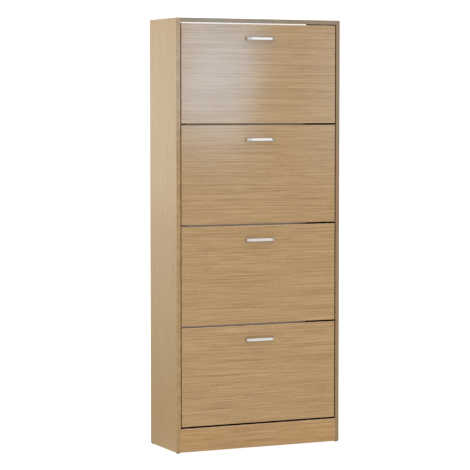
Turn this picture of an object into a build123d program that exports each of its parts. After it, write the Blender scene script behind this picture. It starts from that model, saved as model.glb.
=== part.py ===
"""Tall slim shoe cabinet with four tilt-out flaps, two shoe rows behind each.

Millimetres.  Modelled in a corner frame (X right, Y to the back, Z up, zero at
the front left bottom corner of the carcass) and moved at the end so that the
origin is under the middle of the whole cabinet, at floor level.
"""
import math
import os

from build123d import *

# ---------------------------------------------------------------- driving sizes
WIDTH = 630.0            # carcass, outside
DEPTH = 240.0            # carcass with its back boards
HEIGHT = 1500.0          # carcass without the glides
BOARD = 15.0             # faced chipboard
BACK_T = 3.0             # hardboard back
GLIDE_T = 3.0            # nail-on glides under the sides
PLINTH_TOP = 81.7

FLAP_W, FLAP_H = 593.0, 343.5
FLAP_PITCH = 350.0
FLAP_1_BOTTOM = 1138.2   # the top flap; the others follow one pitch lower each
FLAP_RECESS = 0.5        # flap faces sit this far behind the side edges
EDGE_R = 0.8             # rounded edge band

PIVOT_U, PIVOT_V = 22.0, 45.0   # pivot, behind the flap face and above its bottom edge
OPEN_DEG = 50.0
PIN_R = 3.0
PIN_CLEAR = 0.05         # running fit of the pivot pin in the bracket
STOP_RADIUS = 70.0       # stop pin to pivot
STOP_ANGLE = 60.0        # stop pin direction from the pivot, flap closed
STOP_CLEAR = 0.3

PLATE_X0, PLATE_X1 = 38.0, 42.0     # left bracket plate
RIM_X0 = 30.0
FLANGE_X0 = 24.0
BOSS_X0, BOSS_R = 17.3, 6.9
CHANNEL_X = 48.0         # how far the board channels stand in
TRAY_T = 6.0             # tray boards
TRAY_X0 = 42.3
FLOOR_V = 4.0
FLOOR_U0, FLOOR_U1 = 19.0, 206.0
LEAN = 3.0               # degrees, tray walls lean back
MIDDLE_U, MIDDLE_H = 104.0, 252.0
REAR_U, REAR_H = 198.0, 185.0

HANDLE_SPACING = 96.0
HANDLE_BASE = 112.0      # over the feet
HANDLE_FRONT = 80.6      # flat middle of the bar, corner to corner
HANDLE_SHOULDER = 105.0  # over the shoulders, 12 mm out from the flap
HANDLE_H = 10.5
HANDLE_OUT = 20.0
HANDLE_T = 4.5
HANDLE_R = 2.0           # rounding of the long edges
HANDLE_DOWN = 50.0       # handle centre below the flap's top edge

FLOOR_TOP = 70.0         # bottom panel, top face
RAIL_T = 15.0
MID_RAIL = (690.0, 750.0)
TOP_RAIL = (1400.0, 1460.0)
BACK_TOP = 1470.0        # the back stops short of the top and leaves a vent slot
BACK_JOINT = 720.0
WALL_HOLE_R = 3.0
WALL_HOLE_SPACING = 500.0
WALL_HOLE_Z = 1430.0

SIDE_D = DEPTH - BACK_T
IN_L, IN_R = BOARD, WIDTH - BOARD
CX = WIDTH / 2
FLAP_BOTTOMS = [FLAP_1_BOTTOM - i * FLAP_PITCH for i in range(4)]
FLAP_X0 = CX - FLAP_W / 2

Y_FRONT = FLAP_RECESS - HANDLE_OUT
ORIGIN = (CX, (Y_FRONT + DEPTH) / 2, -GLIDE_T)

MINS = (Align.MIN, Align.MIN, Align.MIN)
BASE = (Align.CENTER, Align.CENTER, Align.MIN)


# ---------------------------------------------------------------- helpers
def block(x0, x1, y0, y1, z0, z1):
    return Pos(x0, y0, z0) * Box(x1 - x0, y1 - y0, z1 - z0, align=MINS)


def rod_x(x0, x1, y, z, r):
    return Pos(x0, y, z) * Rot(0, 90, 0) * Cylinder(r, x1 - x0, align=BASE)


def rod_y(y0, y1, x, z, r):
    return Pos(x, y0, z) * Rot(-90, 0, 0) * Cylinder(r, y1 - y0, align=BASE)


def rod_z(z0, z1, x, y, r):
    return Pos(x, y, z0) * Cylinder(r, z1 - z0, align=BASE)


def flip(shape):
    """The same piece on the right-hand side."""
    return Pos(CX, 0, 0) * mirror(Pos(-CX, 0, 0) * shape, about=Plane.YZ)


def round_edges(shape, test, r=EDGE_R):
    edges = [e for e in shape.edges() if test(e)]
    return fillet(edges, r)


def prism_x(points, x0, x1):
    """Extrude an outline of (y, z) points along X."""
    face = Plane(origin=(x0, 0, 0), x_dir=(0, 1, 0), z_dir=(1, 0, 0)) * make_face(
        Polyline(*points, close=True)
    )
    return extrude(face, x1 - x0, dir=(1, 0, 0))


# ---------------------------------------------------------------- carcass fittings
# Every joint between a board's end and a side: where the cam and the dowels go.
# (y or z across the board, along the board's own depth) in side-panel coordinates.
CAM_SETBACK = 24.0
CAM_R, CAM_H = 7.4, 12.0
BOLT_R, BOLT_HEAD_R = 2.9, 3.4
DOWEL_R = 4.0
# (y, z, cam axis, cam face coordinate, direction into the board)
CAMS = []
DOWELS = []
for y in (55.0, 190.0):
    CAMS.append((y, HEIGHT - BOARD / 2, "z", HEIGHT - BOARD, 1))
    CAMS.append((y, FLOOR_TOP - BOARD / 2, "z", FLOOR_TOP - BOARD, 1))
for y in (90.0, 155.0):
    DOWELS.append((y, HEIGHT - BOARD / 2))
    DOWELS.append((y, FLOOR_TOP - BOARD / 2))
CAMS.append((BOARD / 2, 50.0, "y", BOARD, -1))
DOWELS.append((BOARD / 2, 22.0))
for z0, z1 in (MID_RAIL, TOP_RAIL):
    CAMS.append((SIDE_D - RAIL_T / 2, z0 + 18.0, "y", SIDE_D - RAIL_T, 1))
    DOWELS.append((SIDE_D - RAIL_T / 2, z1 - 18.0))
CAMS.append((SIDE_D - RAIL_T / 2, 36.0, "y", SIDE_D - RAIL_T, 1))
DOWELS.append((SIDE_D - RAIL_T / 2, 18.0))

cam_holes, cam_bodies, bolt_bodies, bolt_side_holes = [], [], [], []
for y, z, axis, face, way in CAMS:
    cx = IN_L + CAM_SETBACK
    if axis == "z":
        hole = rod_z(min(face, face + way * (CAM_H + 0.2)), max(face, face + way * (CAM_H + 0.2)), cx, y, CAM_R + 0.1)
        body = rod_z(min(face + 0.1, face + way * CAM_H), max(face + 0.1, face + way * CAM_H), cx, y, CAM_R)
        slot = block(cx - 5, cx + 5, y - 0.8, y + 0.8, face - 1, face + 2.2)
    else:
        hole = rod_y(min(face, face + way * (CAM_H + 0.2)), max(face, face + way * (CAM_H + 0.2)), cx, z, CAM_R + 0.1)
        lo, hi = sorted((face + way * 0.1, face + way * CAM_H))
        body = rod_y(lo, hi, cx, z, CAM_R)
        a, b = sorted((face - way * 1.0, face + way * 2.2))
        slot = block(cx - 5, cx + 5, a, b, z - 0.8, z + 0.8)
    bore = rod_x(IN_L - 0.5, cx + 4.0, y, z, BOLT_HEAD_R + 0.2)
    cam_holes += [hole, bore]
    cam_bodies.append(body - bore - slot)
    bolt = (
        rod_x(4.5, IN_L - 0.2, y, z, 2.5)
        + rod_x(IN_L - 0.2, cx, y, z, BOLT_R)
        + rod_x(cx, cx + 3.0, y, z, BOLT_HEAD_R)
    )
    bolt_bodies.append(bolt)
    bolt_side_holes.append(rod_x(4.0, IN_L + 0.5, y, z, 2.6))
    bolt_side_holes.append(rod_x(IN_L - 0.4, IN_L + 0.5, y, z, BOLT_R + 0.1))

dowel_bodies = [rod_x(IN_L - 10, IN_L + 20, y, z, DOWEL_R) for y, z in DOWELS]
dowel_holes = [rod_x(IN_L - 10.4, IN_L + 20.4, y, z, DOWEL_R + 0.05) for y, z in DOWELS]

# Tilt-out fittings on the sides: one pivot and one stop per flap
def pivot_at(bottom):
    return FLAP_RECESS + PIVOT_U, bottom + PIVOT_V


def stop_at(bottom):
    y, z = pivot_at(bottom)
    a = math.radians(STOP_ANGLE)
    return y + STOP_RADIUS * math.cos(a), z + STOP_RADIUS * math.sin(a)


bush_holes, stop_holes, bushings, pivot_pins, stop_pins = [], [], [], [], []
for zb in FLAP_BOTTOMS:
    y, z = pivot_at(zb)
    bush_holes.append(rod_x(IN_L - 11.2, IN_L + 0.5, y, z, 5.05))
    bush = rod_x(IN_L - 11, IN_L, y, z, 5.0) + rod_x(IN_L, IN_L + 1.5, y, z, 8.0)
    bush = bush - rod_x(IN_L - 10, IN_L + 2, y, z, PIN_R + 0.02)
    bushings.append(bush)
    pin = rod_x(IN_L - 9.8, PLATE_X1 - 0.5, y, z, PIN_R)
    pivot_pins.append(chamfer(pin.edges().sort_by(Axis.X)[-1:], 0.6))
    y, z = stop_at(zb)
    stop_holes.append(rod_x(IN_L - 12.2, IN_L + 0.5, y, z, PIN_R + 0.05))
    stop = rod_x(IN_L - 12, PLATE_X1 - 0.3, y, z, PIN_R) + rod_x(IN_L, IN_L + 2.0, y, z, 6.0)
    stop_pins.append(stop)

# Nails that hold the back boards: (x, z)
NAIL_X = BOARD / 2
NAIL_Z = [30.0, 150.0, 265.0, 380.0, 495.0, 610.0, 680.0, 765.0, 880.0, 995.0, 1110.0, 1225.0, 1340.0, 1464.0]
nail_spots = [(x, z) for z in NAIL_Z for x in (NAIL_X, WIDTH - NAIL_X)]
for x in (140.0, CX, WIDTH - 140.0):
    nail_spots += [(x, 62.5), (x, BACK_JOINT - 8), (x, BACK_JOINT + 8), (x, 1412.0)]


def nail(x, z, grow=0.0):
    return rod_y(DEPTH - 19 - grow * 4, DEPTH + (1 if grow else 0), x, z, 0.75 + grow) + rod_y(
        DEPTH - 0.8 - grow, DEPTH + (1 if grow else 0), x, z, 1.9 + grow
    )


nails = [nail(x, z) for x, z in nail_spots]
nail_holes = [nail(x, z, 0.08) for x, z in nail_spots]

# Glides: (x, y)
GLIDES = [(BOARD / 2, 8.5), (BOARD / 2, SIDE_D - 10.0)]


def glide(x, y):
    disc = rod_z(-GLIDE_T, 0, x, y, 6.5)
    disc = fillet(disc.edges().sort_by(Axis.Z)[:1], 1.0)
    return disc + rod_z(-0.5, 12, x, y, 0.9)


left_glides = [glide(x, y) for x, y in GLIDES]
glide_holes = [rod_z(-1, 12.3, x, y, 1.0) for x, y in GLIDES]

# ---------------------------------------------------------------- carcass boards
parts = {}

side = block(0, BOARD, 0, SIDE_D, 0, HEIGHT)
side = round_edges(side, lambda e: e.center().Y < 0.01 or e.center().Z > HEIGHT - 0.01)
side_cuts = bolt_side_holes + dowel_holes + bush_holes + stop_holes + glide_holes
left_nails = [n for n, (x, z) in zip(nail_holes, nail_spots) if x < BOARD]
side_l = side - side_cuts - left_nails
parts["left_side_panel"] = side_l
parts["right_side_panel"] = flip(side_l)

end_cuts = cam_holes + dowel_holes
end_cuts = end_cuts + [flip(c) for c in end_cuts]


def fit_ends(board):
    """Cut the cam, bolt and dowel holes that fall in this board."""
    box = board.bounding_box()
    near = []
    for c in end_cuts + nail_holes + wall_holes:
        b = c.bounding_box()
        if (
            b.max.X > box.min.X and b.min.X < box.max.X
            and b.max.Y > box.min.Y + 0.01 and b.min.Y < box.max.Y - 0.01
            and b.max.Z > box.min.Z + 0.01 and b.min.Z < box.max.Z - 0.01
        ):
            near.append(c)
    return board - near


wall_holes = [
    rod_y(SIDE_D - RAIL_T - 1, DEPTH + 1, CX + s * WALL_HOLE_SPACING / 2, WALL_HOLE_Z, WALL_HOLE_R)
    for s in (-1, 1)
]

top = block(IN_L, IN_R, 0, SIDE_D, HEIGHT - BOARD, HEIGHT)
top = round_edges(top, lambda e: e.center().Y < 0.01 and abs(e.center().X - CX) < 1)
parts["top_panel"] = fit_ends(top)
parts["bottom_panel"] = fit_ends(block(IN_L, IN_R, BOARD, SIDE_D, FLOOR_TOP - BOARD, FLOOR_TOP))
plinth = block(IN_L, IN_R, 0, BOARD, 0, PLINTH_TOP)
plinth = round_edges(plinth, lambda e: e.center().Y < 0.01 and abs(e.center().X - CX) < 1)
parts["plinth_board"] = fit_ends(plinth)
parts["rear_plinth_rail"] = fit_ends(block(IN_L, IN_R, SIDE_D - RAIL_T, SIDE_D, 0, FLOOR_TOP - BOARD))
parts["rear_middle_rail"] = fit_ends(block(IN_L, IN_R, SIDE_D - RAIL_T, SIDE_D, *MID_RAIL))
parts["rear_top_rail"] = fit_ends(block(IN_L, IN_R, SIDE_D - RAIL_T, SIDE_D, *TOP_RAIL))
parts["back_panel_lower"] = fit_ends(block(1, WIDTH - 1, SIDE_D, DEPTH, 4, BACK_JOINT - 0.5))
parts["back_panel_upper"] = fit_ends(block(1, WIDTH - 1, SIDE_D, DEPTH, BACK_JOINT + 0.5, BACK_TOP))

parts["floor_glides"] = left_glides + [flip(g) for g in left_glides]
parts["cam_locks"] = cam_bodies + [flip(c) for c in cam_bodies]
parts["cam_bolts"] = bolt_bodies + [flip(c) for c in bolt_bodies]
parts["wood_dowels"] = dowel_bodies + [flip(c) for c in dowel_bodies]
parts["back_panel_nails"] = nails
parts["pivot_bushings"] = bushings + [flip(c) for c in bushings]
parts["pivot_pins"] = pivot_pins + [flip(c) for c in pivot_pins]
parts["stop_pins"] = stop_pins + [flip(c) for c in stop_pins]

# ---------------------------------------------------------------- one tilt-out unit
# Built with the flap's front face at Y 0 and its bottom edge at Z 0.
BRACKET_SCREW_V = (20.0, 150.0, 285.0)
BRACKET_SCREW_X = 31.0
HANDLE_V = FLAP_H - HANDLE_DOWN


def leaning_board(u, v, height, grow=0.0):
    """Outline of a tray wall that stands at (u, v) and leans to the back."""
    s = math.tan(math.radians(LEAN))
    a, b = u - grow, u + TRAY_T + grow
    lo, hi = v - grow, v + height + grow
    return [
        (a + s * (lo - v), lo), (b + s * (lo - v), lo),
        (b + s * (hi - v), hi), (a + s * (hi - v), hi),
    ]


def flat_board(grow=0.0):
    return [
        (FLOOR_U0 - grow, FLOOR_V - grow), (FLOOR_U1 + grow, FLOOR_V - grow),
        (FLOOR_U1 + grow, FLOOR_V + TRAY_T + grow), (FLOOR_U0 - grow, FLOOR_V + TRAY_T + grow),
    ]


WALL_V = FLOOR_V + TRAY_T
OUTLINES = {
    "tray_floor": lambda g: flat_board(g),
    "tray_middle": lambda g: leaning_board(MIDDLE_U, WALL_V, MIDDLE_H, g),
    "tray_rear": lambda g: leaning_board(REAR_U, WALL_V, REAR_H, g),
}

# flap
flap = block(FLAP_X0, FLAP_X0 + FLAP_W, 0, BOARD, 0, FLAP_H)
flap = round_edges(flap, lambda e: e.center().Y < 0.01)
flap = round_edges(flap, lambda e: e.center().Y > BOARD - 0.01, 0.4)
handle_xs = [CX - HANDLE_SPACING / 2, CX + HANDLE_SPACING / 2]
flap_holes = [rod_y(-1, BOARD + 1, x, HANDLE_V, 2.2) for x in handle_xs]
bracket_screw_xs = (BRACKET_SCREW_X, WIDTH - BRACKET_SCREW_X)
flap_holes += [
    rod_y(5.0, BOARD + 1, x, v, 1.65) for x in bracket_screw_xs for v in BRACKET_SCREW_V
]
flap = flap - flap_holes

# handle: one bent bar, seen from above as a shallow bow: upright feet, a
# slanting shoulder at each end and a flat middle, all its long edges rounded
half, front, shoulder = HANDLE_BASE / 2, HANDLE_FRONT / 2, HANDLE_SHOULDER / 2
right_half = [
    (front, -HANDLE_OUT), (shoulder, -12.0), (half, 0), (half - 13.0, 0),
    (half - 14.5, -9.5), (front - 3.8, -HANDLE_OUT + HANDLE_T),
]
left_half = [(-x, y) for x, y in reversed(right_half)]
outline = make_face(Polyline(*[(CX + x, y) for x, y in right_half + left_half], close=True))
handle = Pos(0, 0, HANDLE_V - HANDLE_H / 2) * extrude(outline, HANDLE_H)


def upright_at(solid, x, y):
    return [
        e for e in solid.edges()
        if abs(e.length - HANDLE_H) < 0.01
        and abs(abs(e.center().X - CX) - x) < 0.01 and abs(e.center().Y - y) < 0.01
    ]


for (x, y), r in zip((right_half[0], right_half[1], right_half[4], right_half[5]), (10.0, 6.0, 4.0, 4.0)):
    handle = fillet(upright_at(handle, x, y), r)
rims = [
    e for e in handle.edges()
    if abs(abs(e.center().Z - HANDLE_V) - HANDLE_H / 2) < 0.01 and e.center().Y < -0.01
]
handle = fillet(rims, HANDLE_R)
handle = handle - [rod_y(-9.5, 0.5, x, HANDLE_V, 2.05) for x in handle_xs]

handle_screws = []
for x in handle_xs:
    screw = rod_y(-9.0, BOARD, x, HANDLE_V, 2.0)
    head = rod_y(BOARD, BOARD + 2.4, x, HANDLE_V, 4.0)
    head = fillet(head.edges().sort_by(Axis.Y)[-1:], 1.2)
    cross = block(x - 2.2, x + 2.2, BOARD + 1.2, BOARD + 3, HANDLE_V - 0.5, HANDLE_V + 0.5) + block(
        x - 0.5, x + 0.5, BOARD + 1.2, BOARD + 3, HANDLE_V - 2.2, HANDLE_V + 2.2
    )
    handle_screws.append(screw + head - cross)

# bracket: a moulded plate with a rim, a fixing flange, a pivot boss, board
# channels and the arc slot that the stop pin runs in
PLATE_OUTLINE = [
    (BOARD, -4.0), (210.0, -4.0), (218.0, 200.0), (206.0, 207.0),
    (128.0, 268.0), (112.0, 272.0), (40.0, 300.0), (BOARD, 300.0),
]


def plate_face(x):
    return Plane(origin=(x, 0, 0), x_dir=(0, 1, 0), z_dir=(1, 0, 0)) * make_face(
        Polyline(*PLATE_OUTLINE, close=True)
    )


plate = extrude(plate_face(PLATE_X0), PLATE_X1 - PLATE_X0, dir=(1, 0, 0))
corner = [
    e for e in plate.edges()
    if abs(e.length - (PLATE_X1 - PLATE_X0)) < 0.01 and e.center().Y > BOARD + 1
]
plate = fillet(corner, 5.0)
rim_solid = extrude(plate.faces().sort_by(Axis.X)[0], PLATE_X0 - RIM_X0, dir=(-1, 0, 0))
inner_face = offset(plate.faces().sort_by(Axis.X)[0], amount=-3.0)
rim_core = extrude(inner_face, PLATE_X0 - RIM_X0 + 1, dir=(-1, 0, 0))
rim_core = Pos(0.0, 0, 0) * rim_core
rim = rim_solid - rim_core - block(RIM_X0 - 1, PLATE_X0, BOARD - 1, 30, -5, 6)
flange = block(FLANGE_X0, PLATE_X0, BOARD, BOARD + 3.0, 6.0, 297.0)
flange = round_edges(flange, lambda e: e.center().X < FLANGE_X0 + 0.01 and abs(e.length - 3.0) < 0.01, 4.0)
boss = rod_x(BOSS_X0, PLATE_X0, PIVOT_U, PIVOT_V, BOSS_R)
web = block(RIM_X0, PLATE_X0, PIVOT_U - 1.5, PIVOT_U + 1.5, PIVOT_V + 4, PIVOT_V + 34)
bracket = plate + rim + flange + boss + web

channels = None
for name, line in OUTLINES.items():
    solid = prism_x(line(2.2), PLATE_X1 - 0.5, CHANNEL_X)
    channels = solid if channels is None else channels + solid
bounds = prism_x([(BOARD + 0.5, -3.5), (211.5, -3.5), (218.0, 205.0), (128.0, 268.0), (BOARD + 0.5, 268.0)], PLATE_X1 - 1, CHANNEL_X + 1)
channels = channels & bounds
bracket = bracket + channels
for name, line in OUTLINES.items():
    bracket = bracket - prism_x(line(0.2), PLATE_X1, CHANNEL_X + 1)

slot_cut = None
steps = [STOP_ANGLE - OPEN_DEG, STOP_ANGLE]
r_in, r_out = STOP_RADIUS - PIN_R - STOP_CLEAR, STOP_RADIUS + PIN_R + STOP_CLEAR


def polar(r, deg):
    a = math.radians(deg)
    return PIVOT_U + r * math.cos(a), PIVOT_V + r * math.sin(a)


a0, a1 = steps
mid = (a0 + a1) / 2
arc_face = make_face(
    Line(polar(r_in, a0), polar(r_out, a0))
    + ThreePointArc(polar(r_out, a0), polar(r_out, mid), polar(r_out, a1))
    + Line(polar(r_out, a1), polar(r_in, a1))
    + ThreePointArc(polar(r_in, a1), polar(r_in, mid), polar(r_in, a0))
)
arc_plane = Plane(origin=(PLATE_X0 - 1, 0, 0), x_dir=(0, 1, 0), z_dir=(1, 0, 0))
slot_cut = extrude(arc_plane * arc_face, PLATE_X1 - PLATE_X0 + 2, dir=(1, 0, 0))
for a in steps:
    u, v = polar(STOP_RADIUS, a)
    slot_cut = slot_cut + rod_x(PLATE_X0 - 1, PLATE_X1 + 1, u, v, PIN_R + STOP_CLEAR)
bracket = bracket - slot_cut
bracket = bracket - rod_x(BOSS_X0 - 1, PLATE_X1 + 1, PIVOT_U, PIVOT_V, PIN_R + PIN_CLEAR)
bracket = bracket - [rod_y(BOARD - 1, BOARD + 4, BRACKET_SCREW_X, v, 1.9) for v in BRACKET_SCREW_V]

bracket_screws = []
for x in bracket_screw_xs:
    for v in BRACKET_SCREW_V:
        shank = rod_y(5.5, BOARD + 3, x, v, 1.6)
        head = rod_y(BOARD + 3, BOARD + 5.2, x, v, 3.3)
        head = fillet(head.edges().sort_by(Axis.Y)[-1:], 1.0)
        cross = block(x - 1.8, x + 1.8, BOARD + 4.1, BOARD + 6, v - 0.4, v + 0.4) + block(
            x - 0.4, x + 0.4, BOARD + 4.1, BOARD + 6, v - 1.8, v + 1.8
        )
        bracket_screws.append(shank + head - cross)

trays = {
    name: prism_x(line(0.0), TRAY_X0, WIDTH - TRAY_X0) for name, line in OUTLINES.items()
}

unit = {
    "flap_panel": flap,
    "handle": handle,
    "handle_screws": handle_screws,
    "bracket_left": bracket,
    "bracket_right": flip(bracket),
    "bracket_screws": bracket_screws,
    **trays,
}
for i, zb in enumerate(FLAP_BOTTOMS, 1):
    place = Pos(0, FLAP_RECESS, zb)
    for name, shape in unit.items():
        parts[f"{name}_{i}"] = (
            [place * s for s in shape] if isinstance(shape, list) else place * shape
        )

# ---------------------------------------------------------------- write the parts
os.makedirs("parts", exist_ok=True)
home = Pos(-ORIGIN[0], -ORIGIN[1], -ORIGIN[2])
for name, shape in parts.items():
    if isinstance(shape, list):
        moved = Compound(children=[home * s for s in shape])
    else:
        moved = home * shape
        solids = moved.solids()
        if len(solids) == 1:
            moved = solids[0]
    export_step(moved, os.path.join("parts", f"{name}.step"))
print("origin in the corner frame", ORIGIN, "nodes", len(parts))
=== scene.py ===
import math

import bpy
from mathutils import Euler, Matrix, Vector


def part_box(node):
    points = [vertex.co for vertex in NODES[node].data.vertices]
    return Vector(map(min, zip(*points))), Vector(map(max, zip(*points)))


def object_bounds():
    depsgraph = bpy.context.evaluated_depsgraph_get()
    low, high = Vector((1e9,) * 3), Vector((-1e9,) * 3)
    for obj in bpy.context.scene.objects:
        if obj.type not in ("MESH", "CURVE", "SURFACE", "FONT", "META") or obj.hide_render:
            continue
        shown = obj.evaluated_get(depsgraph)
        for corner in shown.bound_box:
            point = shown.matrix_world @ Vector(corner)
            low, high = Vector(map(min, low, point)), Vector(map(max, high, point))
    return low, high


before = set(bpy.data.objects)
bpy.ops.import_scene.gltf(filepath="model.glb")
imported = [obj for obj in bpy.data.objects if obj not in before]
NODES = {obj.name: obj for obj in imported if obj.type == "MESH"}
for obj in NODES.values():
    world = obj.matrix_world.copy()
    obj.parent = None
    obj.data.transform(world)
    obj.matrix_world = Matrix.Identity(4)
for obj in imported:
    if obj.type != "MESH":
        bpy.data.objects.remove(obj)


def plain(bounds):
    return [[float(c) for c in corner] for corner in bounds]


CAD_BOX = plain(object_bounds())
scene = bpy.context.scene
scene.view_settings.view_transform = "Standard"
scene.view_settings.look = "None"
scene.view_settings.exposure = 0.0
scene.view_settings.gamma = 1.0

SIDE_LO, SIDE_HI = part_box("left_side_panel")
CORNER = Vector((SIDE_LO.x, SIDE_LO.y, SIDE_LO.z))       # front left bottom corner of the carcass
FLOOR_Z = CAD_BOX[0][2]

# ------------------------------------------------------------------ camera
cam_data = bpy.data.cameras.new("camera")
cam_data.sensor_width = 36.0
cam_data.sensor_fit = "HORIZONTAL"
cam_data.lens = 154.47
cam_data.clip_start = 0.1
cam_data.clip_end = 100.0
camera = bpy.data.objects.new("camera", cam_data)
scene.collection.objects.link(camera)
YAW, PITCH = math.radians(24.729), math.radians(3.615)
camera.location = CORNER + Vector((-2.7100, -6.3633, 1.1927))
camera.rotation_euler = Euler((math.pi / 2 - PITCH, 0.0, -YAW), "XYZ")
scene.camera = camera


# ------------------------------------------------------------------ node helpers
class Graph:
    """A few short calls for building a material's nodes."""

    def __init__(self, name):
        self.mat = bpy.data.materials.new(name)
        self.mat.use_nodes = True
        self.t = self.mat.node_tree
        self.t.nodes.clear()
        self.out = self.t.nodes.new("ShaderNodeOutputMaterial")
        self.bsdf = self.t.nodes.new("ShaderNodeBsdfPrincipled")
        self.t.links.new(self.bsdf.outputs[0], self.out.inputs["Surface"])
        self.coord = self.t.nodes.new("ShaderNodeTexCoord")

    def link(self, a, b):
        self.t.links.new(a, b)

    def val(self, node, key, v):
        if hasattr(v, "is_linked") or isinstance(v, bpy.types.NodeSocket):
            self.link(v, node.inputs[key])
        else:
            node.inputs[key].default_value = v

    def math(self, op, a, b=0.0, c=None, clamp=False):
        n = self.t.nodes.new("ShaderNodeMath")
        n.operation = op
        n.use_clamp = clamp
        self.val(n, 0, a)
        self.val(n, 1, b)
        if c is not None:
            self.val(n, 2, c)
        return n.outputs[0]

    def vmath(self, op, a, b=(0, 0, 0)):
        n = self.t.nodes.new("ShaderNodeVectorMath")
        n.operation = op
        self.val(n, 0, a)
        self.val(n, 1, b)
        return n.outputs[0]

    def mapped(self, scale, shift=(0, 0, 0), source=None):
        n = self.t.nodes.new("ShaderNodeMapping")
        self.link(source or self.coord.outputs["Object"], n.inputs["Vector"])
        n.inputs["Location"].default_value = shift
        n.inputs["Scale"].default_value = scale
        return n.outputs[0]

    def noise(self, vec, scale=1.0, detail=3.0, rough=0.5, dist=0.0, color=False):
        n = self.t.nodes.new("ShaderNodeTexNoise")
        n.noise_dimensions = "3D"
        self.link(vec, n.inputs["Vector"])
        n.inputs["Scale"].default_value = scale
        n.inputs["Detail"].default_value = detail
        n.inputs["Roughness"].default_value = rough
        n.inputs["Distortion"].default_value = dist
        return n.outputs["Color" if color else "Fac"]

    def voronoi(self, vec, scale=1.0, feature="F1", out="Distance"):
        n = self.t.nodes.new("ShaderNodeTexVoronoi")
        n.feature = feature
        self.link(vec, n.inputs["Vector"])
        n.inputs["Scale"].default_value = scale
        return n.outputs[out]

    def ramp(self, fac, stops):
        n = self.t.nodes.new("ShaderNodeValToRGB")
        self.link(fac, n.inputs["Fac"])
        els = n.color_ramp.elements
        els[0].position, els[0].color = stops[0][0], (*stops[0][1], 1)
        els[1].position, els[1].color = stops[-1][0], (*stops[-1][1], 1)
        for pos, col in stops[1:-1]:
            e = els.new(pos)
            e.color = (*col, 1)
        return n.outputs["Color"]

    def step(self, x, lo, hi, a=0.0, b=1.0):
        n = self.t.nodes.new("ShaderNodeMapRange")
        n.interpolation_type = "SMOOTHSTEP"
        self.val(n, 0, x)
        n.inputs[1].default_value, n.inputs[2].default_value = lo, hi
        n.inputs[3].default_value, n.inputs[4].default_value = a, b
        return n.outputs[0]

    def remap(self, x, lo, hi, a=0.0, b=1.0):
        n = self.t.nodes.new("ShaderNodeMapRange")
        self.val(n, 0, x)
        n.inputs[1].default_value, n.inputs[2].default_value = lo, hi
        n.inputs[3].default_value, n.inputs[4].default_value = a, b
        return n.outputs[0]

    def mix(self, fac, a, b, mode="MIX"):
        n = self.t.nodes.new("ShaderNodeMix")
        n.data_type = "RGBA"
        n.blend_type = mode
        self.val(n, 0, fac)
        for key, v in ((6, a), (7, b)):
            if isinstance(v, bpy.types.NodeSocket):
                self.link(v, n.inputs[key])
            else:
                n.inputs[key].default_value = (*v, 1)
        return n.outputs[2]

    def split(self, vec):
        n = self.t.nodes.new("ShaderNodeSeparateXYZ")
        self.link(vec, n.inputs[0])
        return n.outputs

    def join(self, x, y, z):
        n = self.t.nodes.new("ShaderNodeCombineXYZ")
        self.val(n, 0, x)
        self.val(n, 1, y)
        self.val(n, 2, z)
        return n.outputs[0]

    def bump(self, height, strength, distance, prior=None):
        n = self.t.nodes.new("ShaderNodeBump")
        n.inputs["Strength"].default_value = strength
        n.inputs["Distance"].default_value = distance
        self.link(height, n.inputs["Height"])
        if prior is not None:
            self.link(prior, n.inputs["Normal"])
        return n.outputs[0]

    def finish(self, color=None, rough=None, normal=None, metallic=0.0, ior=1.5, coat=0.0, coat_rough=0.1):
        b = self.bsdf.inputs
        if color is not None:
            self.val(self.bsdf, "Base Color", color)
        if rough is not None:
            self.val(self.bsdf, "Roughness", rough)
        if normal is not None:
            self.link(normal, b["Normal"])
        b["Metallic"].default_value = metallic
        b["IOR"].default_value = ior
        b["Coat Weight"].default_value = coat
        b["Coat Roughness"].default_value = coat_rough
        return self.mat


def edge_distance(g, lo, hi, axes):
    """Distance in metres from the shading point to the nearest of the board's outer planes on these axes."""
    xyz = g.split(g.coord.outputs["Object"])
    best = None
    for a in axes:
        for d in (g.math("SUBTRACT", xyz[a], lo[a]), g.math("SUBTRACT", hi[a], xyz[a])):
            best = d if best is None else g.math("MINIMUM", best, d)
    return best


# ------------------------------------------------------------------ oak print
OAK_LIGHT = (0.530, 0.332, 0.152)
OAK_MID = (0.458, 0.273, 0.115)
OAK_DARK = (0.325, 0.180, 0.068)
OAK_PORE = (0.235, 0.116, 0.042)


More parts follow.
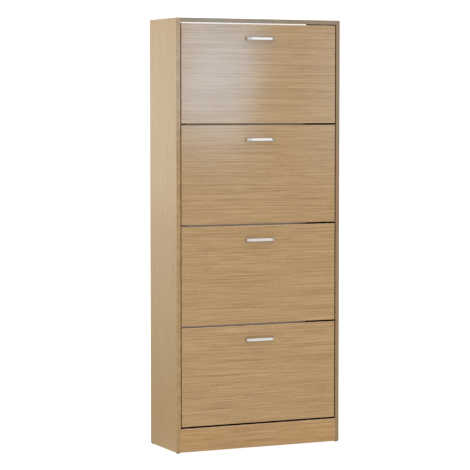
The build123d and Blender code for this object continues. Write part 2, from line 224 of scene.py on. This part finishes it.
def oak(name, node, along, seed, tint=(1.0, 1.0, 1.0), edge_axis=None, edge_tint_and_shade=(0.93, 0.92, 0.90), face_axis=1, gloss=0.27, contrast=1.0, under=None, inner=None, top_edge_highlight=False, rubbed=0.42, edge_gloss=None):
    """Oak-print foil on board: grain along one axis, with figure, fibres, pores, worn edges."""
    lo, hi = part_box(node)
    g = Graph(name)
    shift = (seed * 1.37, seed * 2.11, seed * 0.73)

    def stretch(length, width):
        s = [width] * 3
        s[along] = length
        return tuple(s)

    # slow wander of the grain, then the print is read at the wandered place
    wander = g.noise(g.mapped(stretch(1.6, 3.2), shift), 1.0, 2.0, 0.5, color=True)
    wander = g.vmath("SUBTRACT", wander, (0.5, 0.5, 0.5))
    amount = [0.003] * 3
    amount[along] = 0.0
    wander = g.vmath("MULTIPLY", wander, tuple(amount))
    place = g.vmath("ADD", g.coord.outputs["Object"], wander)

    bands = g.noise(g.mapped(stretch(0.8, 15.0), shift, place), 1.0, 2.0, 0.5)
    streaks = g.noise(g.mapped(stretch(3.0, 330.0), shift, place), 1.0, 0.5, 0.5)
    second = g.noise(g.mapped(stretch(10.0, 380.0), (shift[1], shift[2], shift[0]), place), 1.0, 0.5, 0.5)
    flecks = g.noise(g.mapped(stretch(95.0, 380.0), (shift[2], shift[0], shift[1]), place), 1.0, 0.0, 0.5)
    # straight, nearly even year lines of quarter-sawn oak, their spacing and strength drifting slowly
    across = g.split(place)[2 if along != 2 else (0 if face_axis != 0 else 1)]
    drift_phase = g.noise(g.mapped(stretch(1.2, 30.0), (shift[2], shift[1], shift[0])), 1.0, 1.0, 0.5)
    hatch = g.math("SINE", g.math("ADD", g.math("MULTIPLY", across, 2.0 * math.pi / 0.0073), g.math("MULTIPLY", drift_phase, 9.0)))
    hatch_strength = g.remap(g.noise(g.mapped(stretch(7.0, 70.0), (shift[0], shift[2], shift[1])), 1.0, 1.0, 0.5), 0.30, 0.70, 0.15, 1.0)
    hatch = g.math("MULTIPLY", hatch, hatch_strength)
    fibres = g.noise(g.mapped(stretch(16.0, 800.0), shift, place), 1.0, 2.0, 0.6)
    threads = g.noise(g.mapped(stretch(30.0, 1500.0), shift, place), 1.0, 2.0, 0.6)

    # cathedral figure: rings of a slow field, seen only in patches
    field = g.noise(g.mapped(stretch(0.9, 3.4), (shift[2], shift[0], shift[1]), place), 1.0, 1.0, 0.4)
    rings = g.math("SINE", g.math("MULTIPLY", field, 240.0))
    rings = g.remap(rings, -1.0, 1.0, 0.0, 1.0)
    patch = g.step(g.noise(g.mapped(stretch(1.0, 3.0), (shift[1], shift[2], shift[0])), 1.0, 1.0, 0.5), 0.44, 0.64)

    tone = g.math("MULTIPLY", streaks, 0.36)
    tone = g.math("ADD", tone, g.math("MULTIPLY", second, 0.24))
    tone = g.math("ADD", tone, g.math("MULTIPLY", flecks, 0.14))
    tone = g.math("ADD", tone, g.math("MULTIPLY", fibres, 0.24))
    tone = g.math("ADD", tone, g.math("MULTIPLY", bands, 0.02))
    tone = g.math("ADD", tone, g.math("MULTIPLY", hatch, 0.036))
    ring_part = g.math("MULTIPLY", g.math("SUBTRACT", rings, 0.5), g.math("MULTIPLY", patch, 0.007))
    tone = g.math("ADD", tone, ring_part)
    spread = 0.130 / contrast
    color = g.ramp(
        g.remap(tone, 0.5 - spread, 0.5 + spread, 0.0, 1.0),
        [(0.0, OAK_DARK), (0.42, OAK_MID), (0.72, OAK_LIGHT), (1.0, tuple(min(1.0, c * 1.10) for c in OAK_LIGHT))],
    )
    # pores: short dark dashes along the grain, gathered in the darker bands
    dash = g.noise(g.mapped(stretch(75.0, 2300.0), shift, place), 1.0, 1.0, 0.5)
    gathered = g.step(streaks, 0.60, 0.38)
    pores = g.math("MULTIPLY", g.step(dash, 0.63, 0.74), g.math("ADD", g.math("MULTIPLY", gathered, 0.75), 0.25))
    color = g.mix(g.math("MULTIPLY", pores, 0.50), color, OAK_PORE)
    # threads: the finest light and dark lines of the print
    color = g.mix(g.remap(threads, 0.3, 0.7, 0.0, 0.16), color, OAK_DARK)

    # slow colour drift over the sheet
    drift = g.noise(g.mapped((1.7, 1.7, 1.7), shift), 1.0, 2.0, 0.5)
    color = g.mix(g.remap(drift, 0.3, 0.7, 0.0, 0.25), color, tuple(c * k for c, k in zip(OAK_MID, (1.05, 0.98, 0.90))))

    normal_axis = g.split(g.coord.outputs["Normal"])
    if edge_axis is not None:
        # the front edge band is darkened by a tint set per board: partly the band's own colour, partly painted shade,
        # darkest on the right side panel and blue-dark on the top panel
        on_edge = g.step(g.math("ABSOLUTE", normal_axis[edge_axis]), 0.5, 0.9)
        edge_color = g.mix(1.0, color, edge_tint_and_shade, "MULTIPLY")
        color = g.mix(on_edge, color, edge_color)
    color = g.mix(1.0, color, tint, "MULTIPLY")
    if inner is not None:
        # painted shade: the face turned along the given axis (the tops of the bottom panel and the plinth, in the dark
        # behind the flaps) is darkened by the given factor
        axis, sign, shade = inner
        painted_shade_face = g.step(g.math("MULTIPLY", normal_axis[axis], float(sign)), 0.6, 0.95)
        color = g.mix(painted_shade_face, color, g.mix(1.0, color, shade, "MULTIPLY"))

    # wear: the outline of the board rubs lighter and picks up a little grime
    dist = edge_distance(g, lo, hi, [a for a in range(3) if a != face_axis])
    rub_noise = g.noise(g.mapped((38.0, 38.0, 38.0), shift), 1.0, 4.0, 0.6)
    rub = g.math("MULTIPLY", g.step(dist, 0.0022, 0.0002), g.step(rub_noise, 0.38, 0.62, 0.25, 1.0))
    color = g.mix(g.math("MULTIPLY", rub, rubbed), color, tuple(min(1.0, c * 1.35 + 0.04) for c in OAK_LIGHT))
    if top_edge_highlight:
        # painted highlight: a pale line along the top front edge in place of the light its rounding catches, broken up
        # by the wear noise
        top = g.step(g.math("SUBTRACT", hi[2], g.split(g.coord.outputs["Object"])[2]), 0.0019, 0.0007)
        top = g.math("MULTIPLY", top, g.step(normal_axis[1], -0.30, -0.75))
        color = g.mix(g.math("MULTIPLY", top, g.remap(rub_noise, 0.35, 0.65, 0.34, 0.50)), color, (0.86, 0.72, 0.54))
    grime = g.math("MULTIPLY", g.step(dist, 0.010, 0.001), g.step(rub_noise, 0.62, 0.40))
    color = g.mix(g.math("MULTIPLY", grime, 0.24 * rubbed), color, OAK_DARK)

    # faint handling marks only in the sheen
    smear = g.noise(g.mapped((7.0, 7.0, 7.0), shift), 1.0, 4.0, 0.65, 0.6)
    rough = g.remap(fibres, 0.3, 0.7, gloss - 0.020, gloss + 0.030)
    rough = g.math("ADD", rough, g.remap(smear, 0.35, 0.75, -0.024 * rubbed, 0.072 * rubbed))
    rough = g.math("ADD", rough, g.math("MULTIPLY", pores, 0.08))
    rough = g.math("ADD", rough, g.math("MULTIPLY", rub, 0.08), clamp=True)
    if edge_gloss is not None:
        # the edge band is glossier than the foil on the faces
        rough = g.math("ADD", g.math("MULTIPLY", rough, g.math("SUBTRACT", 1.0, on_edge)), g.math("MULTIPLY", on_edge, edge_gloss))
    if under is not None:
        # the face turned to the floor never gets handled and keeps its press shine
        down = g.step(normal_axis[2], -0.6, -0.95)
        rough = g.math("ADD", g.math("MULTIPLY", rough, g.math("SUBTRACT", 1.0, down)), g.math("MULTIPLY", down, under))

    height = g.math("ADD", g.math("MULTIPLY", fibres, 0.5), g.math("MULTIPLY", threads, 0.25))
    height = g.math("SUBTRACT", height, g.math("MULTIPLY", pores, 0.35))
    normal = g.bump(height, 0.10, 0.00012)
    normal = g.bump(g.noise(g.mapped(stretch(2.0, 14.0), shift), 1.0, 2.0, 0.5), 0.02, 0.0008, normal)
    # the foil is pressed with fine grooves along the grain, so its shine spreads across the grain
    tangent = [0.0, 0.0, 0.0]
    tangent[2 if along != 2 else 1] = 1.0
    g.bsdf.inputs["Anisotropic"].default_value = 0.55
    g.link(g.join(*tangent), g.bsdf.inputs["Tangent"])
    return g.finish(color, rough, normal, ior=1.5)


def oak_flap(i):
    return oak(f"oak_flap_{i}", f"flap_panel_{i}", 0, 11.3 + 3.7 * i, tint=(0.970, 1.005, 1.010), face_axis=1, gloss=0.16, top_edge_highlight=True)


# ------------------------------------------------------------------ other materials
def tray_print(name, node, seed):
    return oak(name, node, 0, seed, tint=(0.80, 0.78, 0.74), face_axis=2 if "floor" in node else 1, gloss=0.38, contrast=0.9)


def hardboard():
    g = Graph("hardboard")
    fuzz = g.noise(g.mapped((160.0, 160.0, 160.0)), 1.0, 5.0, 0.7)
    chips = g.voronoi(g.mapped((420.0, 420.0, 420.0)), 1.0)
    blots = g.noise(g.mapped((4.0, 4.0, 4.0)), 1.0, 3.0, 0.5)
    brown = g.ramp(g.math("ADD", g.math("MULTIPLY", fuzz, 0.7), g.math("MULTIPLY", blots, 0.3)), [(0.30, (0.120, 0.062, 0.028)), (0.52, (0.190, 0.105, 0.050)), (0.75, (0.280, 0.170, 0.090))])
    brown = g.mix(g.step(chips, 0.10, 0.45, 0.35, 0.0), brown, (0.085, 0.042, 0.018))
    # screen side of the board: the press leaves a fine square mesh on the back
    xyz = g.split(g.coord.outputs["Object"])
    mx = g.math("ABSOLUTE", g.math("SINE", g.math("MULTIPLY", xyz[0], 1250.0)))
    mz = g.math("ABSOLUTE", g.math("SINE", g.math("MULTIPLY", xyz[2], 1250.0)))
    mesh_print = g.math("MULTIPLY", mx, mz)
    inner = g.step(g.split(g.coord.outputs["Normal"])[1], -0.5, -0.8)
    paint_noise = g.noise(g.mapped((28.0, 28.0, 28.0)), 1.0, 4.0, 0.6)
    paint = g.ramp(paint_noise, [(0.3, (0.560, 0.480, 0.380)), (0.7, (0.640, 0.555, 0.450))])
    color = g.mix(inner, brown, paint)
    rough = g.remap(fuzz, 0.3, 0.7, 0.62, 0.86)
    normal = g.bump(g.math("ADD", g.math("MULTIPLY", mesh_print, 0.6), g.math("MULTIPLY", fuzz, 0.4)), 0.30, 0.0004)
    return g.finish(color, rough, normal, ior=1.45)


def moulded(name, base, spread, rough_mid, fine=900.0):
    """Injection-moulded plastic: fine spark texture, slow flow variation, scuffed patches."""
    g = Graph(name)
    spark = g.noise(g.mapped((fine, fine, fine)), 1.0, 3.0, 0.6)
    flow = g.noise(g.mapped((9.0, 9.0, 22.0)), 1.0, 3.0, 0.5, 0.8)
    scuff = g.noise(g.mapped((60.0, 60.0, 60.0)), 1.0, 5.0, 0.7)
    color = g.ramp(g.math("ADD", g.math("MULTIPLY", flow, 0.7), g.math("MULTIPLY", spark, 0.3)), [(0.32, tuple(c * (1 - spread) for c in base)), (0.68, tuple(min(1, c * (1 + spread)) for c in base))])
    color = g.mix(g.step(scuff, 0.63, 0.78, 0.0, 0.35), color, tuple(min(1, c * 1.8 + 0.03) for c in base))
    rough = g.math("ADD", g.remap(spark, 0.3, 0.7, rough_mid - 0.06, rough_mid + 0.06), g.step(scuff, 0.55, 0.8, 0.0, 0.14))
    return g.finish(color, rough, g.bump(spark, 0.22, 0.00012), ior=1.46)


def metal(name, base, rough_mid, brush_axis=0, brush=0.10, fine=2600.0, tarnish=0.25, rounding_shade=None):
    g = Graph(name)
    s = [fine] * 3
    s[brush_axis] = fine / 55.0
    lines = g.noise(g.mapped(tuple(s)), 1.0, 3.0, 0.6)
    cloud = g.noise(g.mapped((70.0, 70.0, 70.0)), 1.0, 4.0, 0.6)
    color = g.ramp(cloud, [(0.30, tuple(c * (1 - tarnish) for c in base)), (0.62, base)])
    color = g.mix(g.remap(lines, 0.3, 0.7, 0.0, 0.12), color, tuple(c * 0.72 for c in base))
    if rounding_shade is not None:
        # painted shade: the lower rounding is darkened most and the upper one a little, in place of the dark floor and
        # shade they reflect
        nz = g.split(g.coord.outputs["Normal"])[2]
        color = g.mix(g.step(nz, -0.50, -0.85), color, tuple(c * rounding_shade for c in base))
        color = g.mix(g.step(nz, 0.55, 0.95, 0.0, 0.40), color, tuple(c * rounding_shade for c in base))
    rough = g.math("ADD", g.remap(lines, 0.3, 0.7, rough_mid - brush * 0.5, rough_mid + brush * 0.5), g.remap(cloud, 0.4, 0.8, 0.0, 0.07))
    return g.finish(color, rough, g.bump(lines, 0.12, 0.00006), metallic=1.0)


def beech():
    g = Graph("beech_dowel")
    lines = g.noise(g.mapped((60.0, 1400.0, 1400.0)), 1.0, 3.0, 0.6)
    flecks = g.noise(g.mapped((500.0, 1800.0, 1800.0)), 1.0, 1.0, 0.5)
    color = g.ramp(lines, [(0.3, (0.480, 0.290, 0.140)), (0.7, (0.680, 0.460, 0.260))])
    color = g.mix(g.step(flecks, 0.62, 0.72, 0.0, 0.5), color, (0.300, 0.160, 0.070))
    return g.finish(color, g.remap(lines, 0.3, 0.7, 0.5, 0.7), g.bump(lines, 0.3, 0.0002))


# ------------------------------------------------------------------ hand the materials out
def paint(node, mat, inward=None, axis=0, sign=1.0):
    """One material on the whole node, or a second one on the faces turned along sign * axis."""
    data = NODES[node].data
    data.materials.clear()
    data.materials.append(mat)
    if inward is not None:
        data.materials.append(inward)
    for p in data.polygons:
        p.material_index = 1 if inward is not None and p.normal[axis] * sign > 0.7 else 0


def shaded_matte_inside(name, node, seed):
    """Matt print on the faces turned to the inside of the cabinet, darkened to about a fifth: painted shade of the
    closed cabinet.
    """
    mat = oak(name, node, 2, seed, tint=(0.20, 0.155, 0.12), face_axis=0, gloss=0.62, contrast=0.6)
    shader = next(n for n in mat.node_tree.nodes if n.type == "BSDF_PRINCIPLED")
    shader.inputs["Specular IOR Level"].default_value = 0.08
    return mat



BRACKET = moulded("bracket_plastic", (0.052, 0.036, 0.024), 0.14, 0.50)
BUSHING = moulded("bushing_plastic", (0.052, 0.036, 0.024), 0.14, 0.46)
GLIDE = moulded("glide_plastic", (0.045, 0.042, 0.040), 0.25, 0.50)
# the handles' darkened roundings are painted shade
HANDLE = metal("handle_satin_chrome", (0.730, 0.718, 0.708), 0.20, 0, 0.04, 3200.0, 0.02, rounding_shade=0.22)
STEEL = metal("zinc_steel", (0.60, 0.60, 0.585), 0.34, 0, 0.14, 2400.0, 0.30)
SCREW = metal("screw_steel", (0.66, 0.66, 0.64), 0.30, 1, 0.12, 2600.0, 0.28)
CAM = metal("cam_zinc", (0.50, 0.50, 0.49), 0.42, 2, 0.10, 1200.0, 0.35)
HARDBOARD = hardboard()
BEECH = beech()

# the edge tints, the inside-face materials and the inner shades below paint shade onto these boards
paint("left_side_panel", oak("oak_left_side", "left_side_panel", 2, 1.9, tint=(0.975, 1.02, 0.91), face_axis=0, edge_axis=1, edge_tint_and_shade=(0.77, 0.75, 0.74), gloss=0.28, contrast=0.45, rubbed=0.25, edge_gloss=0.22), shaded_matte_inside("oak_left_inside", "left_side_panel", 1.9), 0, 1.0)
paint("right_side_panel", oak("oak_right_side", "right_side_panel", 2, 5.3, face_axis=0, edge_axis=1, edge_tint_and_shade=(0.60, 0.635, 0.68), gloss=0.28, contrast=0.45, rubbed=0.10), shaded_matte_inside("oak_right_inside", "right_side_panel", 5.3), 0, -1.0)
paint("top_panel", oak("oak_top", "top_panel", 0, 3.1, face_axis=2, edge_axis=1, edge_tint_and_shade=(0.50, 0.63, 0.85), gloss=0.22, contrast=0.30, under=0.06, rubbed=0.12))
paint("bottom_panel", oak("oak_bottom", "bottom_panel", 0, 7.7, face_axis=2, gloss=0.32, inner=(2, 1, (0.42, 0.38, 0.34))))
paint("plinth_board", oak("oak_plinth", "plinth_board", 0, 9.2, tint=(1.02, 0.97, 0.885), face_axis=1, gloss=0.24, top_edge_highlight=True, inner=(2, 1, (0.30, 0.26, 0.22))))
for n, s in (("rear_plinth_rail", 2.3), ("rear_middle_rail", 4.9), ("rear_top_rail", 6.1)):
    paint(n, oak(f"oak_{n}", n, 0, s, face_axis=1, gloss=0.32))
for n in ("back_panel_upper", "back_panel_lower"):
    paint(n, HARDBOARD)
paint("floor_glides", GLIDE)
paint("cam_locks", CAM)
paint("cam_bolts", STEEL)
paint("wood_dowels", BEECH)
paint("back_panel_nails", SCREW)
paint("pivot_bushings", BUSHING)
paint("pivot_pins", STEEL)
paint("stop_pins", STEEL)
for i in range(1, 5):
    paint(f"flap_panel_{i}", oak_flap(i))
    paint(f"handle_{i}", HANDLE)
    paint(f"handle_screws_{i}", SCREW)
    paint(f"bracket_left_{i}", BRACKET)
    paint(f"bracket_right_{i}", BRACKET)
    paint(f"bracket_screws_{i}", SCREW)
    for k, part in enumerate(("tray_floor", "tray_middle", "tray_rear")):
        paint(f"{part}_{i}", tray_print(f"oak_{part}_{i}", f"{part}_{i}", 20.0 + 4.1 * i + 1.3 * k))

# ------------------------------------------------------------------ floor
def floor_material():
    """White sweep. The camera sees paper white; the piece itself sees a floor that brightens with distance."""
    g = Graph("studio_floor")
    n = g.noise(g.mapped((1.5, 1.5, 1.5)), 1.0, 3.0, 0.5)
    color = g.ramp(n, [(0.3, (0.33, 0.33, 0.33)), (0.7, (0.36, 0.36, 0.36))])
    g.finish(color, g.remap(n, 0.3, 0.7, 0.55, 0.65))
    g.bsdf.inputs["Emission Color"].default_value = (1, 1, 1, 1)
    xyz = g.split(g.coord.outputs["Object"])
    dx = g.math("SUBTRACT", xyz[0], 0.0)
    dy = g.math("SUBTRACT", xyz[1], 0.0)
    r = g.math("SQRT", g.math("ADD", g.math("MULTIPLY", dx, dx), g.math("MULTIPLY", dy, dy)))
    behind = g.remap(r, 0.4, 9.0, 0.25, 1.22)
    # the floor close behind is bright again: it shows as a faint sheen low on the side
    behind = g.math("ADD", behind, g.step(r, 1.15, 0.50, 0.0, 0.14))
    before = g.remap(r, 0.4, 9.0, 0.80, 0.76)
    front = g.step(xyz[1], 0.5, -0.5)
    glow = g.math("ADD", g.math("MULTIPLY", before, front), g.math("MULTIPLY", behind, g.math("SUBTRACT", 1.0, front)))
    cam = g.t.nodes.new("ShaderNodeLightPath").outputs["Is Camera Ray"]
    strength = g.math("ADD", g.math("MULTIPLY", cam, 0.86), g.math("MULTIPLY", g.math("SUBTRACT", 1.0, cam), glow))
    g.link(strength, g.bsdf.inputs["Emission Strength"])
    dark = g.mix(cam, (0.10, 0.10, 0.10), color)
    g.link(dark, g.bsdf.inputs["Base Color"])
    return g.mat


import bmesh
bm = bmesh.new()
ring = []
HALF, BACK, RISE, BEND = 14.0, 9.0, 9.0, 3.0
profile = [(-16.0, 0.0), (BACK - BEND, 0.0)]
for k in range(1, 13):
    a = math.radians(90.0 * k / 12)
    profile.append((BACK - BEND + BEND * math.sin(a), BEND - BEND * math.cos(a)))
profile.append((BACK, RISE))
rows = []
for y, z in profile:
    rows.append((bm.verts.new((-HALF, y, FLOOR_Z + z)), bm.verts.new((HALF, y, FLOOR_Z + z))))
for (a, b), (c, d) in zip(rows, rows[1:]):
    bm.faces.new((a, b, d, c))
floor_mesh = bpy.data.meshes.new("studio_floor")
bm.to_mesh(floor_mesh)
bm.free()
floor = bpy.data.objects.new("studio_floor", floor_mesh)
scene.collection.objects.link(floor)
for p in floor_mesh.polygons:
    p.use_smooth = True
floor_mesh.materials.append(floor_material())


# ------------------------------------------------------------------ light
def area(name, at, look, size, size_y, radiance, spread=math.pi, color=(1, 1, 1), roll=0.0, sheen_only=False):
    data = bpy.data.lights.new(name, "AREA")
    data.shape = "RECTANGLE"
    data.size, data.size_y = size, size_y
    data.color = color
    data.energy = radiance * math.pi * size * size_y
    data.spread = spread
    o = bpy.data.objects.new(name, data)
    o.location = at
    q = (Vector(look) - Vector(at)).to_track_quat("-Z", "Y")
    o.rotation_mode = "QUATERNION"
    o.rotation_quaternion = q @ Euler((0.0, 0.0, math.radians(roll)), "XYZ").to_quaternion()
    scene.collection.objects.link(o)
    o.visible_camera = False
    o.visible_diffuse = not sheen_only
    if sheen_only:
        o.light_linking.receiver_collection = flagged
    return o


# surroundings: paper white to the camera; to the piece a bright horizon, a
# stronger band overhead, and a dimmer ceiling and right-hand side
world = bpy.data.worlds.new("studio")
scene.world = world
world.use_nodes = True
wt = world.node_tree
wt.nodes.clear()


def wnode(kind, **inputs):
    n = wt.nodes.new(kind)
    for k, v in inputs.items():
        n.inputs[int(k[1:])].default_value = v
    return n


def wmath(op, a, b=0.0, clamp=False):
    n = wt.nodes.new("ShaderNodeMath")
    n.operation = op
    n.use_clamp = clamp
    for k, v in ((0, a), (1, b)):
        if isinstance(v, bpy.types.NodeSocket):
            wt.links.new(v, n.inputs[k])
        else:
            n.inputs[k].default_value = v
    return n.outputs[0]


def wramp(fac, stops):
    n = wt.nodes.new("ShaderNodeValToRGB")
    wt.links.new(fac, n.inputs["Fac"])
    els = n.color_ramp.elements
    els[0].position, els[0].color = stops[0][0], (stops[0][1],) * 3 + (1,)
    els[1].position, els[1].color = stops[-1][0], (stops[-1][1],) * 3 + (1,)
    for pos, v in stops[1:-1]:
        els.new(pos).color = (v,) * 3 + (1,)
    return n.outputs["Color"]


direction = wt.nodes.new("ShaderNodeSeparateXYZ")
wt.links.new(wt.nodes.new("ShaderNodeTexCoord").outputs["Generated"], direction.inputs[0])
height = wmath("ADD", wmath("MULTIPLY", direction.outputs[2], 0.5), 0.5)
# by height, 0.5 is the horizon
sky = wramp(height, [(0.0, 0.25), (0.47, 0.60), (0.50, 0.95), (0.60, 1.00), (0.75, 1.16), (0.90, 1.00), (1.0, 0.70)])
side = wramp(wmath("ADD", wmath("MULTIPLY", direction.outputs[0], 0.5), 0.5), [(0.0, 0.80), (0.45, 1.0), (0.80, 1.0), (1.0, 0.55)])
both = wt.nodes.new("ShaderNodeMix")
both.data_type = "RGBA"
both.blend_type = "MULTIPLY"
both.inputs[0].default_value = 1.0
wt.links.new(sky, both.inputs[6])
wt.links.new(side, both.inputs[7])
pick = wt.nodes.new("ShaderNodeMix")
pick.data_type = "RGBA"
wt.links.new(wt.nodes.new("ShaderNodeLightPath").outputs["Is Camera Ray"], pick.inputs[0])
wt.links.new(both.outputs[2], pick.inputs[6])
pick.inputs[7].default_value = (1.0, 1.0, 1.0, 1.0)
background = wt.nodes.new("ShaderNodeBackground")
wt.links.new(pick.outputs[2], background.inputs["Color"])
background.inputs["Strength"].default_value = 1.0
wt.links.new(background.outputs[0], wt.nodes.new("ShaderNodeOutputWorld").inputs["Surface"])

# the bright metal of the handles is flagged off from the lights that only make sheen on the flaps
flagged = bpy.data.collections.new("flagged_off_from_sheen")
for i in range(1, 5):
    flagged.objects.link(NODES[f"handle_{i}"])
for entry in flagged.collection_objects:
    entry.light_linking.link_state = "EXCLUDE"

c = CORNER
# softbox at the front right: its image is the pale patch on the top flap
area("softbox_right", c + Vector((1.258, -2.50, 1.37)), c + Vector((0.157, 0.0, 1.33)), 0.39, 0.58, 9.8, color=(0.38, 0.70, 1.0), roll=-10.0, sheen_only=True)
# a dim white card beside it that only the handles pick up
card = area("handle_card", c + Vector((1.47, -2.50, 1.33)), c + Vector((0.315, 0.0, 1.33)), 0.95, 0.95, 0.42, sheen_only=True)
metal_only = bpy.data.collections.new("handles_only")
for i in range(1, 5):
    metal_only.objects.link(NODES[f"handle_{i}"])
for entry in metal_only.collection_objects:
    entry.light_linking.link_state = "INCLUDE"
card.light_linking.receiver_collection = metal_only
# a weaker one further right: the faint sheen along the right end of the upper flaps
area("softbox_far", c + Vector((1.98, -2.50, 1.28)), c + Vector((0.55, 0.0, 1.28)), 0.36, 0.75, 2.3, color=(0.43, 0.72, 1.0), sheen_only=True)
# broad light at the left rear: sheen on the upper part of the side
area("panel_left", c + Vector((-1.7, 3.4, 1.15)), c + Vector((0.0, 0.1, 1.15)), 1.9, 1.0, 0.95, color=(1.0, 0.97, 0.84))
# light that reaches the inside of the back, seen through the gaps
area("inside_fill", c + Vector((0.315, 0.215, 0.66)), c + Vector((0.315, 0.235, 0.66)), 0.58, 0.96, 0.26)
